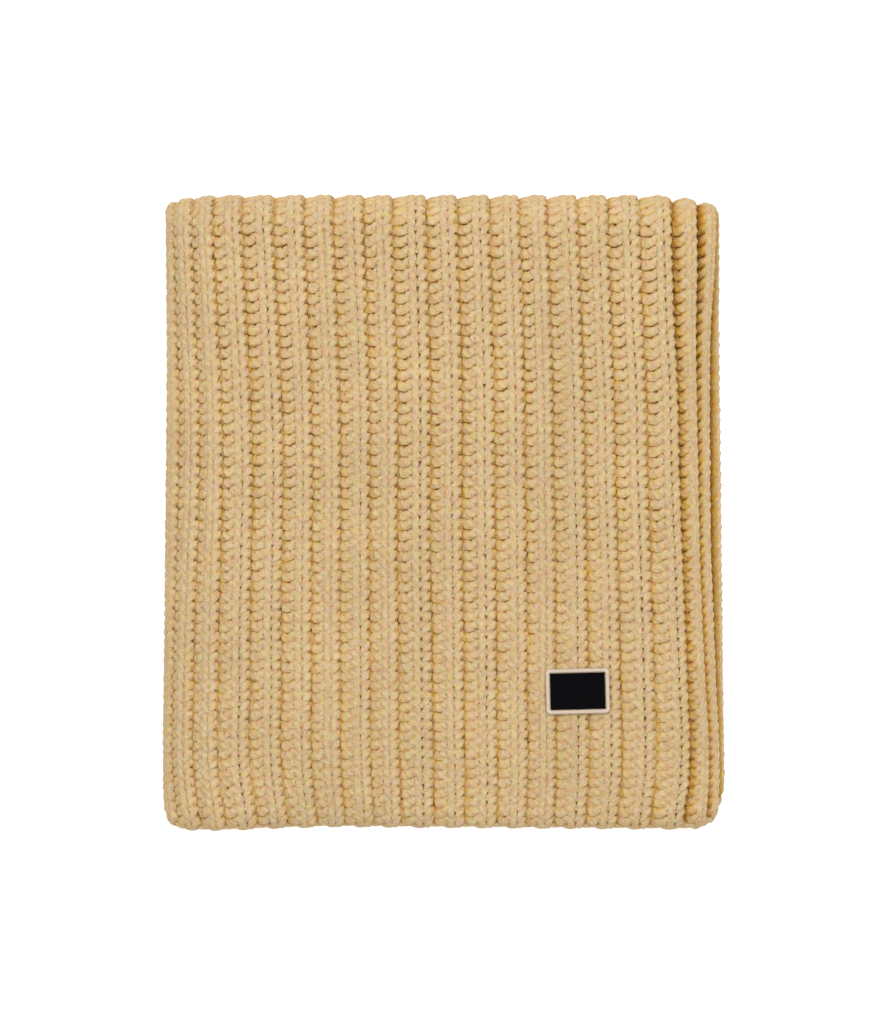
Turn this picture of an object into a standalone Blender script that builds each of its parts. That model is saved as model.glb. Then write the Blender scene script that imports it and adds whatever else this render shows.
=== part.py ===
"""A chunky rib-knit scarf, folded six layers deep into a flat stack that lies on its underside.

Units are metres and +Z is up. The stack's long side runs along Y, its ribs with it, and the
origin is the middle of the underside.

The scarf is one knitted strip. Its labelled end lies on top at the front (-Y). From there the
top stretch runs back over the stack and down round the back fold. The under stretch goes on from
it, along the underside and round the low front fold. The four layers between them are one rounded
solid, grooved where their edges show.
"""

import bisect
import functools
import math

import bmesh
import bpy
import numpy as np
from mathutils import Matrix, Vector

# ---- driving sizes -------------------------------------------------------------------------

CROWN_HEIGHT = 0.047  # top layer's rib creases in the middle of the stack, above the surface
RIB_RELIEF = 0.003  # how far a rib stands above its creases
WALL_INSIDE = 0.004  # plain inner face of the cloth, below the creases
SEAM_GAP = 0.0003  # between pieces that lie on each other

BACK_FOLD_AT = 0.154  # y where the back fold starts to turn down
BACK_FOLD_DEPTH = 0.015  # how far it reaches behind that
CORNER_TUCK = 0.24  # share of a side's drop by which the fold's corners draw in

FRONT_EDGE_AT = -0.160  # y where the labelled end starts to turn down
FRONT_EDGE_REACH = 0.0092
FRONT_EDGE_SAG = 0.012
FRONT_EDGE_TURN = math.radians(70)
SIDE_SAG_LOSS = 0.6  # share of that sag that the right selvedge, already low, doesn't take
# How far the labelled end's corners draw back, and how fast that fades along with the sides' drop
LEFT_DRAW_BACK, LEFT_DRAW_BACK_POWER = 0.0105, 4.2
RIGHT_DRAW_BACK, RIGHT_DRAW_BACK_POWER = 0.017, 2.2

UNDER_LEVEL = RIB_RELIEF  # the creases of the underside, whose ribs are pressed flat on z = 0
UNDER_HALF_WIDTH = 0.1465
UNDER_FRONT = -0.156  # y where the underside starts to turn up
LOW_FOLD_RADIUS = 0.0047
LIP_END = -0.146  # the low fold's upper end, tucked into the stack

# One row for each rib line, from the left selvedge to the right one, halfway along the stack.
# Columns: x across the stack, drop below the crown where the sides hang down.
RIB_LINES = (
    (-0.1502, 0.0218),
    (-0.1429, 0.0119),
    (-0.1316, 0.0045),
    (-0.1195, 0.0005),
    (-0.1035, 0.0),
    (-0.0870, 0.0),
    (-0.0710, 0.0),
    (-0.0558, 0.0),
    (-0.0400, 0.0),
    (-0.0250, 0.0),
    (-0.0071, 0.0),
    (0.0099, 0.0),
    (0.0276, 0.0),
    (0.0440, 0.0),
    (0.0593, 0.0),
    (0.0761, 0.0),
    (0.0927, 0.0),
    (0.1101, 0.0),
    (0.1277, 0.0018),
    (0.1361, 0.0096),
    (0.1427, 0.0196),
    (0.1484, 0.0295),
)
RIB_COUNT = len(RIB_LINES) - 1
LEFT_DROP = RIB_LINES[0][1]
RIGHT_DROP = RIB_LINES[-1][1]
SIDE_RIBS = 6  # from a selvedge to where the cloth is level

# How the rib lines wander sideways along the stack, one row for each place along it.
# Columns: y, then the shift at each of the rib lines below.
WANDER = (
    (-0.170, -0.0006, 0.0001, 0.0035, 0.0016, -0.0004, 0.0013, 0.0045, 0.0036, 0.0004),
    (-0.162, -0.0008, -0.0013, 0.0024, 0.0018, -0.0001, 0.0022, 0.0050, 0.0042, 0.0010),
    (-0.145, -0.0010, -0.0038, -0.0003, 0.0017, 0.0009, 0.0046, 0.0058, 0.0048, 0.0014),
    (-0.123, -0.0010, -0.0046, -0.0016, 0.0013, 0.0009, 0.0054, 0.0056, 0.0044, 0.0014),
    (-0.100, -0.0009, -0.0043, -0.0010, 0.0010, 0.0007, 0.0045, 0.0042, 0.0034, 0.0011),
    (-0.059, -0.0006, -0.0031, -0.0010, 0.0006, 0.0008, 0.0029, 0.0020, 0.0018, 0.0007),
    (-0.026, -0.0004, -0.0019, -0.0003, -0.0001, 0.0007, 0.0015, 0.0008, 0.0006, 0.0004),
    (0.022, 0.0000, -0.0002, 0.0004, -0.0001, -0.0002, -0.0003, 0.0000, 0.0000, 0.0000),
    (0.060, 0.0004, -0.0002, -0.0005, 0.0000, -0.0006, -0.0011, -0.0007, 0.0000, -0.0006),
    (0.103, 0.0006, -0.0021, -0.0027, -0.0008, -0.0017, -0.0033, -0.0006, 0.0008, -0.0012),
    (0.130, 0.0006, -0.0031, -0.0041, -0.0015, -0.0025, -0.0042, 0.0003, 0.0030, -0.0014),
    (0.160, 0.0006, -0.0043, -0.0060, -0.0025, -0.0039, -0.0050, 0.0002, 0.0045, -0.0016),
)
WANDER_AT_LINES = (0.0, 1.5, 4.0, 10.0, 14.0, 18.0, 19.0, 20.0, 21.0)

# A rib's outer face from one crease to the next. Columns: share of the way, share of the relief.
RIB_FORM = (
    (0.00, 0.0),  # crease, against the next rib's flank
    (0.26, 0.42),  # floor of the purl channel
    (0.50, 0.72),
    (0.70, 1.0),  # crest, down the middle of the knit column
    (0.88, 0.80),
)
SELVEDGE_RELIEF = 0.3  # share of the relief that the outermost rib keeps at its cut edge
SELVEDGE_BULGE = 0.0012

# The hidden layers, lowest first. Columns: lowest level, highest level, how far the sides stand
# in. At the front the lowest layer ends behind the lip, the next two are one round fold, and the
# highest is the scarf's far end.
HIDDEN_LAYERS = (
    (0.0073, 0.0160, 0.0012),
    (0.0160, 0.0235, 0.0030),
    (0.0235, 0.0330, 0.0022),
    (0.0330, 0.0427, 0.0030),
)
STEP_LEVEL = HIDDEN_LAYERS[0][1]  # where the front steps out over the low fold
STEP_RISE = 0.00015
GROOVE_DEPTH = 0.0032  # between two layers' edges
LAYER_FORM = ((0.0, 1.0), (0.2, 0.3), (0.5, 0.0), (0.8, 0.3))  # share of height, of the groove
HIDDEN_FRONT = -0.1630  # the layers' edges at the front
HIDDEN_BACK = 0.1630
HIDDEN_HALF_WIDTH = 0.1468
HIDDEN_CORNER = 0.018
BACK_CORNER = 0.024
CORNER_TURNS = 3
FAR_END_INSET = 0.002  # the far end, behind the layers' edges at the front
FOLD_REACH = 0.0085  # how deep the round fold is
FRONT_RIB_POINTS = 3  # for each rib, along the front
FRONT_RIB_RELIEF = 0.0022
CORNER_RIBS = 3  # ribs that the two front corners take up
SIDE_CLEARANCE = 0.0006
BACK_CLEARANCE = 0.002
PROFILE_STEP = 0.005  # between the cuts that the side's inner face is taken from
PROFILE_POINTS = 25

LABEL_AT = (0.0720, -0.0964)
LABEL_WIDTH = 0.0345
LABEL_HEIGHT = 0.0245
LABEL_CORNER = 0.0026
LABEL_INNER_CORNER = 0.0005
LABEL_TURN = math.radians(1.5)
LABEL_SAG = 0.25  # how much of the depth between two ribs it follows
LABEL_THICKNESS = 0.0011
BORDER_WIDTH = 0.0023
BORDER_THICKNESS = 0.0019
# The border's section. Columns: share of its width inwards, share of its thickness.
BORDER_SECTION = ((0.0, 0.3), (0.15, 0.85), (0.5, 1.0), (0.85, 0.85), (1.0, 0.3), (1.0, 0.0), (0.0, 0.0))
LABEL_COLUMNS = 14  # along its width
CORNER_STEPS = 4

# Columns: colour, roughness.
FINISHES = {
    "wool": ((0.67, 0.47, 0.24, 1.0), 0.9),
    "wool_shade": ((0.58, 0.39, 0.19, 1.0), 0.9),
    "label_black": ((0.012, 0.012, 0.014, 1.0), 0.8),
    "label_cream": ((0.76, 0.66, 0.55, 1.0), 0.7),
}
SMOOTH_UNDER = math.radians(60)


# ---- curves through the tables -------------------------------------------------------------


def curve(places, values):
    """A smooth curve through the values at those rising places, straight on past both ends."""
    slopes = [float(slope) for slope in np.gradient(values, places)]
    last = len(places) - 1

    def at(place):
        if place <= places[0] or place >= places[last]:
            end = 0 if place <= places[0] else last
            return values[end] + slopes[end] * (place - places[end])
        k = bisect.bisect_right(places, place) - 1
        span = places[k + 1] - places[k]
        u = (place - places[k]) / span
        near = values[k] * (1 + 2 * u) + slopes[k] * span * u
        far = values[k + 1] * (3 - 2 * u) + slopes[k + 1] * span * (u - 1)
        return near * (1 - u) ** 2 + far * u * u

    return at


def ease(u):
    u = min(1.0, max(0.0, u))
    return u * u * (3 - 2 * u)


def column(table, number):
    return [row[number] for row in table]


line_x = curve(range(RIB_COUNT + 1), column(RIB_LINES, 0))
line_drop = curve(range(RIB_COUNT + 1), column(RIB_LINES, 1))
wander_at = [curve(column(WANDER, 0), column(WANDER, k)) for k in range(1, len(WANDER[0]))]


@functools.cache
def wander_row(y):
    y = min(WANDER[-1][0], max(WANDER[0][0], y))
    return [shift(y) for shift in wander_at]


def wander(line, y):
    row = wander_row(y)
    k = min(len(row) - 2, bisect.bisect_right(WANDER_AT_LINES, line) - 1)
    u = (line - WANDER_AT_LINES[k]) / (WANDER_AT_LINES[k + 1] - WANDER_AT_LINES[k])
    return row[k] + (row[k + 1] - row[k]) * u


def side_drop(line):
    return max(0.0, line_drop(line))


# ---- the cloth: a place on it for each rib line and each station along it ------------------


def on_top(line, y):
    return Vector((line_x(line) + wander(line, y), y, CROWN_HEIGHT - side_drop(line)))


def front_shortening(line):
    """How far the labelled end's corners draw back there, most at the selvedges."""
    if line < RIB_COUNT / 2:
        return LEFT_DRAW_BACK * (side_drop(line) / LEFT_DROP) ** LEFT_DRAW_BACK_POWER
    return RIGHT_DRAW_BACK * (side_drop(line) / RIGHT_DROP) ** RIGHT_DRAW_BACK_POWER


def on_front_edge(line, turn):
    back = front_shortening(line)
    start = on_top(line, FRONT_EDGE_AT)
    sag = FRONT_EDGE_SAG * (1 - SIDE_SAG_LOSS * side_drop(line) / RIGHT_DROP)
    y = FRONT_EDGE_AT + back - FRONT_EDGE_REACH * math.sin(turn)
    return Vector((on_top(line, y).x, y, start.z - sag * (1 - math.cos(turn))))


def on_flat(line, y):
    """The top between its two ends; near the front the shortened corners draw it back."""
    share = ease((y - FRONT_EDGE_AT) / (0.0 - FRONT_EDGE_AT))
    return on_top(line, y + front_shortening(line) * (1 - share))


def under_x(line):
    return UNDER_HALF_WIDTH * (2 * line / RIB_COUNT - 1)


def on_back_fold(line, turn):
    """The ribs run straight over the fold's upper half and draw in to the underside below it."""
    start = on_top(line, BACK_FOLD_AT)
    depth = BACK_FOLD_DEPTH - CORNER_TUCK * side_drop(line)
    middle = (start.z + UNDER_LEVEL) / 2
    share = ease(2 * turn / math.pi - 1)
    x = start.x + (under_x(line) - start.x) * share
    y = BACK_FOLD_AT + depth * math.sin(turn)
    return Vector((x, y, middle + (start.z - middle) * math.cos(turn)))


def on_underside(line, y):
    return Vector((under_x(line), y, UNDER_LEVEL))


def on_low_fold(line, turn):
    y = UNDER_FRONT - LOW_FOLD_RADIUS * math.sin(turn)
    z = UNDER_LEVEL + LOW_FOLD_RADIUS * (1 - math.cos(turn))
    return Vector((under_x(line), y, z))


def on_lip(line, y):
    return Vector((under_x(line), y, UNDER_LEVEL + 2 * LOW_FOLD_RADIUS))


# Stations along the cloth. Columns: stretch, place on it (a turn on a fold, else y), and how far
# the ribs are pressed flat there.
FLAT_PLACES = (-0.158, -0.143, -0.120, -0.085, -0.040, 0.010, 0.055, 0.100, 0.140)
TOP_STATIONS = (
    (on_front_edge, FRONT_EDGE_TURN, 0.0),
    (on_front_edge, math.radians(45), 0.0),
    (on_front_edge, math.radians(20), 0.0),
    *((on_flat, y, 0.0) for y in FLAT_PLACES),
    *((on_back_fold, math.radians(turn), 0.0) for turn in (2, 26, 48, 70, 90, 110)),
    (on_back_fold, math.radians(132), 0.25),
    (on_back_fold, math.radians(155), 0.8),
    (on_back_fold, math.radians(180), 1.0),
)
UNDER_STATIONS = (
    (on_underside, BACK_FOLD_AT - SEAM_GAP, 1.0),
    (on_low_fold, 0.0, 1.0),
    (on_low_fold, math.radians(40), 0.6),
    *((on_low_fold, math.radians(turn), 0.1) for turn in (75, 110, 145, 178)),
    (on_lip, LIP_END, 0.1),
)

# A short way on along each stretch, from the labelled end towards the other one.
TURN_STEP = 0.01
FLAT_STEP = 0.0005
ONWARD = {
    on_front_edge: -TURN_STEP,
    on_flat: FLAT_STEP,
    on_back_fold: TURN_STEP,
    on_underside: -FLAT_STEP,
    on_low_fold: TURN_STEP,
    on_lip: FLAT_STEP,
}
LINE_STEP = 0.02


def cloth_frame(line, stretch, place):
    """A point of the cloth at crease level, and the direction out of the cloth there."""
    step = ONWARD[stretch]
    inner_line = min(RIB_COUNT - LINE_STEP, max(LINE_STEP, line))
    across = stretch(inner_line + LINE_STEP, place) - stretch(inner_line - LINE_STEP, place)
    along = stretch(line, place + step) - stretch(line, place - step)
    return stretch(line, place), across.cross(along).normalized()


def outer_lines():
    """Rib lines with a point on the outer face, and the share of the relief at each."""
    rows = [(0.0, SELVEDGE_RELIEF)]
    for rib in range(RIB_COUNT):
        for share, height in RIB_FORM:
            if rib > 0 or share > 0.0:
                rows.append((rib + share, height))
    rows.append((float(RIB_COUNT), SELVEDGE_RELIEF))
    return rows


def selvedge_point(line, inner_line, stretch, place):
    """The rounded edge of the cloth, a little below the creases."""
    point, out = cloth_frame(line, stretch, place)
    sideways = (point - stretch(inner_line, place)).normalized()
    return point - out * WALL_INSIDE / 3 + sideways * SELVEDGE_BULGE


def cloth_loop(stretch, place, pressed):
    """One closed section across the cloth: ribbed outer face, selvedge, inner face, selvedge."""
    points = []
    for line, share in outer_lines():
        point, out = cloth_frame(line, stretch, place)
        height = RIB_RELIEF * (share + (1 - share) * pressed)
        points.append(point + out * height)
    points.append(selvedge_point(RIB_COUNT, RIB_COUNT - LINE_STEP, stretch, place))
    for line in range(RIB_COUNT, -1, -1):
        point, out = cloth_frame(line, stretch, place)
        points.append(point - out * WALL_INSIDE)
    points.append(selvedge_point(0, LINE_STEP, stretch, place))
    return points


# ---- the hidden layers -----------------------------------------------------------------------


@functools.cache
def inside_profile(side, y):
    """The hanging side's inner face in a cut at that y: its heights, rising, and how far out."""
    selvedge = RIB_COUNT if side > 0 else 0
    found = []
    for line in np.linspace(selvedge, selvedge - side * SIDE_RIBS, PROFILE_POINTS):
        point, out = cloth_frame(float(line), on_flat, y)
        found.append(point - out * WALL_INSIDE)
    return [p.z for p in found], [abs(p.x) for p in found]


def hidden_half_width(side, y, z, stand_in):
    """How far out the hidden layers reach there, clear of the cloth's hanging side."""
    cut = min(BACK_FOLD_AT, round(y / PROFILE_STEP) * PROFILE_STEP)
    heights, reaches = inside_profile(side, cut)
    above = z + SIDE_CLEARANCE
    limit = HIDDEN_HALF_WIDTH
    if above > heights[0]:
        limit = min(limit, float(np.interp(above, heights, reaches)) - SIDE_CLEARANCE)
    return limit - stand_in


def hidden_levels():
    """Rows of: height, how far the sides and the back stand in, how far the front does."""
    rows = []
    fold_low = HIDDEN_LAYERS[1][0]
    fold_high = HIDDEN_LAYERS[2][1]
    for number, (low, high, stand_in) in enumerate(HIDDEN_LAYERS):
        for share, groove in LAYER_FORM:
            z = low + (high - low) * share
            sides = stand_in + GROOVE_DEPTH * groove
            if number == 0:
                front = LIP_END + 2 * SEAM_GAP - HIDDEN_FRONT
            elif number == len(HIDDEN_LAYERS) - 1:
                front = FAR_END_INSET + GROOVE_DEPTH * groove
            else:
                u = 2 * (z - fold_low) / (fold_high - fold_low) - 1
                front = FOLD_REACH * (1 - math.sqrt(max(0.0, 1 - u * u)))
            rows.append((z, sides, front))
        if number == 0:
            rows.append((high - STEP_RISE, sides, front))
    highest, stand_in = HIDDEN_LAYERS[-1][1:]
    rows.append((highest, stand_in + GROOVE_DEPTH, FAR_END_INSET + GROOVE_DEPTH))
    return rows


def hidden_outline():
    """The layers' outline seen from above, anticlockwise from the left end of the front.
    Columns: share of the half width, share of the length in front or behind, rib relief."""
    rows = []

    def corner(side_x, side_y, first):
        length = HIDDEN_BACK if side_y > 0 else -HIDDEN_FRONT
        radius = BACK_CORNER if side_y > 0 else HIDDEN_CORNER
        for k in range(CORNER_TURNS + 1):
            turn = math.radians(first + 90 * k / CORNER_TURNS)
            x = side_x + radius / HIDDEN_HALF_WIDTH * (math.cos(turn) - side_x)
            y = side_y + radius / length * (math.sin(turn) - side_y)
            rows.append((x, y, 0.0))

    corner(-1, -1, 180)
    ribs = RIB_COUNT - CORNER_RIBS
    reach = 1 - HIDDEN_CORNER / HIDDEN_HALF_WIDTH
    for point in range(ribs * FRONT_RIB_POINTS):
        along = (point + 0.5) / (ribs * FRONT_RIB_POINTS)
        relief = math.sin(math.pi * (along * ribs % 1))
        rows.append((reach * (2 * along - 1), -1.0, relief))
    corner(1, -1, 270)
    rows.append((1.0, 0.0, 0.0))
    corner(1, 1, 0)
    corner(-1, 1, 90)
    rows.append((-1.0, 0.0, 0.0))
    return rows


def back_limit(z):
    """How far back the layers reach inside the back fold."""
    middle = (CROWN_HEIGHT + UNDER_LEVEL) / 2
    reach = (CROWN_HEIGHT - UNDER_LEVEL) / 2 - WALL_INSIDE
    u = min(1.0, abs(z - middle) / reach)
    depth = (BACK_FOLD_DEPTH - WALL_INSIDE) * math.sqrt(1 - u * u)
    return min(HIDDEN_BACK, BACK_FOLD_AT + depth - BACK_CLEARANCE)


def hidden_loop(z, sides, front):
    points = []
    for x_share, y_share, relief in hidden_outline():
        y = y_share * (back_limit(z) if y_share > 0 else -HIDDEN_FRONT - front)
        x = x_share * hidden_half_width(1 if x_share > 0 else -1, y, z, sides)
        raised = FRONT_RIB_RELIEF * relief if z >= STEP_LEVEL else 0.0
        points.append(Vector((x, y - raised, z)))
    return points


# ---- making solids -----------------------------------------------------------------------------


def solid_through(name, loops, material):
    """One closed solid through loops with equal counts of points, capped at both ends."""
    shape = bmesh.new()
    rings = [[shape.verts.new(p) for p in loop] for loop in loops]
    count = len(rings[0])
    for near, far in zip(rings, rings[1:]):
        for k in range(count):
            shape.faces.new((near[k], near[(k + 1) % count], far[(k + 1) % count], far[k]))
    shape.faces.new(reversed(rings[0]))
    shape.faces.new(rings[-1])
    bmesh.ops.triangulate(shape, faces=[f for f in shape.faces if len(f.verts) > 4])
    bmesh.ops.recalc_face_normals(shape, faces=shape.faces)
    finish_solid(name, shape, material)


def finish_solid(name, shape, material):
    mesh = bpy.data.meshes.new(name)
    shape.to_mesh(mesh)
    shape.free()
    mesh.shade_smooth()
    mesh.set_sharp_from_angle(angle=SMOOTH_UNDER)
    mesh.materials.append(material)
    made = bpy.data.objects.new(name, mesh)
    bpy.context.scene.collection.objects.link(made)


def cloth_material(name):
    colour, roughness = FINISHES[name]
    made = bpy.data.materials.new(name)
    made.use_nodes = True
    shader = made.node_tree.nodes["Principled BSDF"]
    shader.inputs["Base Color"].default_value = colour
    shader.inputs["Roughness"].default_value = roughness
    shader.inputs["Metallic"].default_value = 0.0
    made.diffuse_color = colour
    return made


# ---- the label ---------------------------------------------------------------------------------


def rib_share(line):
    """Share of the relief there, across a rib."""
    shares = [*column(RIB_FORM, 0), 1.0]
    heights = [*column(RIB_FORM, 1), 0.0]
    return float(np.interp(line % 1, shares, heights))


def line_at(x, y):
    """The rib line that passes through that place of the top."""
    low, high = 0.0, float(RIB_COUNT)
    for _ in range(20):
        middle = (low + high) / 2
        if on_top(middle, y).x < x:
            low = middle
        else:
            high = middle
    return low


def on_label(x, y, height):
    """A point of the label, which lies on the ribs and follows the dips between them a little."""
    turned = Matrix.Rotation(LABEL_TURN, 3, "Z") @ Vector((x, y, 0.0))
    place = turned + Vector((*LABEL_AT, 0.0))
    line = line_at(place.x, place.y)
    dip = LABEL_SAG * (1 - rib_share(line))
    place.z = on_top(line, place.y).z + RIB_RELIEF * (1 - dip) + SEAM_GAP + height
    return place


def label_outline(inset):
    """The label's outline that far in, with points along its width for the ribs under it."""
    half_width = LABEL_WIDTH / 2 - inset
    half_height = LABEL_HEIGHT / 2 - inset
    radius = max(LABEL_CORNER - inset, LABEL_INNER_CORNER)
    points = []
    for side_x, side_y, first in ((1, -1, 270), (1, 1, 0), (-1, 1, 90), (-1, -1, 180)):
        for k in range(CORNER_STEPS + 1):
            turn = math.radians(first + 90 * k / CORNER_STEPS)
            x = side_x * (half_width - radius) + radius * math.cos(turn)
            y = side_y * (half_height - radius) + radius * math.sin(turn)
            points.append((x, y))
        if side_x == side_y:
            for k in range(1, LABEL_COLUMNS):
                x = side_x * (half_width - radius) * (1 - 2 * k / LABEL_COLUMNS)
                points.append((x, side_y * half_height))
    return points


def make_label_field(material):
    half_width = LABEL_WIDTH / 2 - BORDER_WIDTH - SEAM_GAP
    half_height = LABEL_HEIGHT / 2 - BORDER_WIDTH - SEAM_GAP
    loops = []
    for k in range(LABEL_COLUMNS + 1):
        x = half_width * (2 * k / LABEL_COLUMNS - 1)
        edge = ((-half_height, 0.0), (half_height, 0.0), (half_height, 1.0), (-half_height, 1.0))
        loops.append([on_label(x, y, LABEL_THICKNESS * high) for y, high in edge])
    solid_through("label_field", loops, material)


def make_label_border(material):
    """A round-backed ring: its section carried round the label's outline."""
    shape = bmesh.new()
    rings = []
    for inward, high in BORDER_SECTION:
        outline = label_outline(inward * BORDER_WIDTH)
        rings.append([shape.verts.new(on_label(x, y, BORDER_THICKNESS * high)) for x, y in outline])
    for near, far in zip(rings, rings[1:] + rings[:1]):
        for k in range(len(near)):
            after = (k + 1) % len(near)
            shape.faces.new((near[k], near[after], far[after], far[k]))
    bmesh.ops.recalc_face_normals(shape, faces=shape.faces)
    finish_solid("label_border", shape, material)


def main():
    for old in list(bpy.data.objects):
        bpy.data.objects.remove(old)
    wool = cloth_material("wool")
    wool_shade = cloth_material("wool_shade")
    solid_through("top_stretch", [cloth_loop(*station) for station in TOP_STATIONS], wool)
    solid_through("under_stretch", [cloth_loop(*station) for station in UNDER_STATIONS], wool)
    solid_through("hidden_layers", [hidden_loop(*level) for level in hidden_levels()], wool_shade)
    make_label_field(cloth_material("label_black"))
    make_label_border(cloth_material("label_cream"))


main()
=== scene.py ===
import math

import bpy
import numpy as np
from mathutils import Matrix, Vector


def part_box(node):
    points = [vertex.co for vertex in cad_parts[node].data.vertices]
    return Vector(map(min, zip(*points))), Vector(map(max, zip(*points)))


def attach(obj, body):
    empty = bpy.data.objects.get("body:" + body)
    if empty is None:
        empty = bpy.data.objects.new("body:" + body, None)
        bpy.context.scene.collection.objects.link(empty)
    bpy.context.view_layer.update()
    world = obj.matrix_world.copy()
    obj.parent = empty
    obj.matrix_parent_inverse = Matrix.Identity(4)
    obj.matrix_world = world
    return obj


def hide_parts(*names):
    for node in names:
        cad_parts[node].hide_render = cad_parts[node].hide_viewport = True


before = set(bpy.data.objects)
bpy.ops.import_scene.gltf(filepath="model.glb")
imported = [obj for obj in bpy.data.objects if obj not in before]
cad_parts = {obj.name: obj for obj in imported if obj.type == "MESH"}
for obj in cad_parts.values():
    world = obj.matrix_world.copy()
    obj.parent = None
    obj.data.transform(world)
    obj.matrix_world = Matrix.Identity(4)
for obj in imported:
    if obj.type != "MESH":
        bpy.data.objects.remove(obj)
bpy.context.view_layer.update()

print("frame loaded:", sorted(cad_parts))

# Metres, +Z up, ribs along Y, labelled end at the front (-Y). The cloth's places are worked out
# from the same sizes as the solids that these pieces stand for.

relief = 0.003  # of the ribs on the solids

stack = dict(
    crown=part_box("top_stretch")[1].z - relief,  # rib creases in the middle of the top
    backFoldAt=0.154,
    backFoldDepth=0.015,
    cornerTuck=0.24,
    frontEdgeAt=-0.160,
    frontEdgeSag=0.012,
    frontEdgeTurn=math.radians(70),
    sideSagLoss=0.6,
    leftDrawBack=(0.0105, 4.2),  # how far the corner draws back, and how fast that fades with the drop
    rightDrawBack=(0.017, 2.2),
    underLevel=0.003,
    underHalfWidth=0.1465,
    underFront=-0.156,
    lowFoldRadius=0.0047,
    lipEnd=-0.146,
)

# One row for each rib line, left selvedge to right one: x, drop below the crown
ribLines = np.array([
    (-0.1502, 0.0218), (-0.1429, 0.0119), (-0.1316, 0.0045), (-0.1195, 0.0005), (-0.1035, 0.0),
    (-0.0870, 0.0), (-0.0710, 0.0), (-0.0558, 0.0), (-0.0400, 0.0), (-0.0250, 0.0), (-0.0071, 0.0),
    (0.0099, 0.0), (0.0276, 0.0), (0.0440, 0.0), (0.0593, 0.0), (0.0761, 0.0), (0.0927, 0.0),
    (0.1101, 0.0), (0.1277, 0.0018), (0.1361, 0.0096), (0.1427, 0.0196), (0.1484, 0.0295),
])
ribCount = len(ribLines) - 1

# How far the labelled end reaches past the line where it starts to turn down: rib line, reach
frontEdgeReaches = (
    (0.0, 0.0102), (1.0, 0.0112), (3.0, 0.0108), (4.5, 0.0096), (6.5, 0.0086), (9.0, 0.0090),
    (14.0, 0.0096), (18.0, 0.0102), (19.5, 0.0108), (21.0, 0.0085),
)

# How rib lines wander along the stack: y, then the shift at each of the lines below
wanderRows = np.array([
    (-0.170, -0.0006, 0.0001, 0.0035, 0.0016, -0.0004, 0.0013, 0.0045, 0.0036, 0.0004),
    (-0.162, -0.0008, -0.0013, 0.0024, 0.0018, -0.0001, 0.0022, 0.0050, 0.0042, 0.0010),
    (-0.145, -0.0010, -0.0038, -0.0003, 0.0017, 0.0009, 0.0046, 0.0058, 0.0048, 0.0014),
    (-0.123, -0.0010, -0.0046, -0.0016, 0.0013, 0.0009, 0.0054, 0.0056, 0.0044, 0.0014),
    (-0.100, -0.0009, -0.0043, -0.0010, 0.0010, 0.0007, 0.0045, 0.0042, 0.0034, 0.0011),
    (-0.059, -0.0006, -0.0031, -0.0010, 0.0006, 0.0008, 0.0029, 0.0020, 0.0018, 0.0007),
    (-0.026, -0.0004, -0.0019, -0.0003, -0.0001, 0.0007, 0.0015, 0.0008, 0.0006, 0.0004),
    (0.022, 0.0000, -0.0002, 0.0004, -0.0001, -0.0002, -0.0003, 0.0000, 0.0000, 0.0000),
    (0.060, 0.0004, -0.0002, -0.0005, 0.0000, -0.0006, -0.0011, -0.0007, 0.0000, -0.0006),
    (0.103, 0.0006, -0.0021, -0.0027, -0.0008, -0.0017, -0.0033, -0.0006, 0.0008, -0.0012),
    (0.130, 0.0006, -0.0031, -0.0041, -0.0015, -0.0025, -0.0042, 0.0003, 0.0030, -0.0014),
    (0.160, 0.0006, -0.0043, -0.0060, -0.0025, -0.0039, -0.0050, 0.0002, 0.0045, -0.0016),
])
wanderLines = (0.0, 1.5, 4.0, 10.0, 14.0, 18.0, 19.0, 20.0, 21.0)


def curveThrough(places, values, at):  # smooth, and straight on past both ends
    places, values = np.asarray(places, float), np.asarray(values, float)
    slopes = np.gradient(values, places)
    k = np.clip(np.searchsorted(places, at, side="right") - 1, 0, len(places) - 2)
    span = places[k + 1] - places[k]
    u = (at - places[k]) / span
    near = values[k] * (1 + 2 * u) + slopes[k] * span * u
    far = values[k + 1] * (3 - 2 * u) + slopes[k + 1] * span * (u - 1)
    inside = near * (1 - u) ** 2 + far * u * u
    before = values[0] + slopes[0] * (at - places[0])
    after = values[-1] + slopes[-1] * (at - places[-1])
    return np.where(u < 0, before, np.where(u > 1, after, inside))


def ease(u):
    u = np.clip(u, 0, 1)
    return u * u * (3 - 2 * u)


def wander(line, y):
    y = np.clip(y, wanderRows[0, 0], wanderRows[-1, 0])
    total = 0.0
    for k in range(len(wanderLines)):
        share = np.interp(line, wanderLines, np.eye(len(wanderLines))[k])
        total = total + share * curveThrough(wanderRows[:, 0], wanderRows[:, k + 1], y)
    return total


def sideDrop(line):
    return np.maximum(0, curveThrough(np.arange(ribCount + 1), ribLines[:, 1], line))


def point(x, y, z):
    return np.stack(np.broadcast_arrays(x, y, z), -1)


def onTop(line, y):
    x = curveThrough(np.arange(ribCount + 1), ribLines[:, 0], line) + wander(line, y)
    return point(x, y, stack["crown"] - sideDrop(line))


def drawBack(line):
    reaches = []
    for side, drop in (("leftDrawBack", ribLines[0, 1]), ("rightDrawBack", ribLines[-1, 1])):
        reach, power = stack[side]
        reaches.append(reach * (sideDrop(line) / drop) ** power)
    return np.where(line < ribCount / 2, *reaches)


def onFrontEdge(line, turn):
    sag = stack["frontEdgeSag"] * (1 - stack["sideSagLoss"] * sideDrop(line) / ribLines[-1, 1])
    reach = np.interp(line, *np.array(frontEdgeReaches).T)
    y = stack["frontEdgeAt"] + drawBack(line) - reach * np.sin(turn)
    top = onTop(line, y)
    return point(top[..., 0], y, top[..., 2] - sag * (1 - np.cos(turn)))


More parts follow.
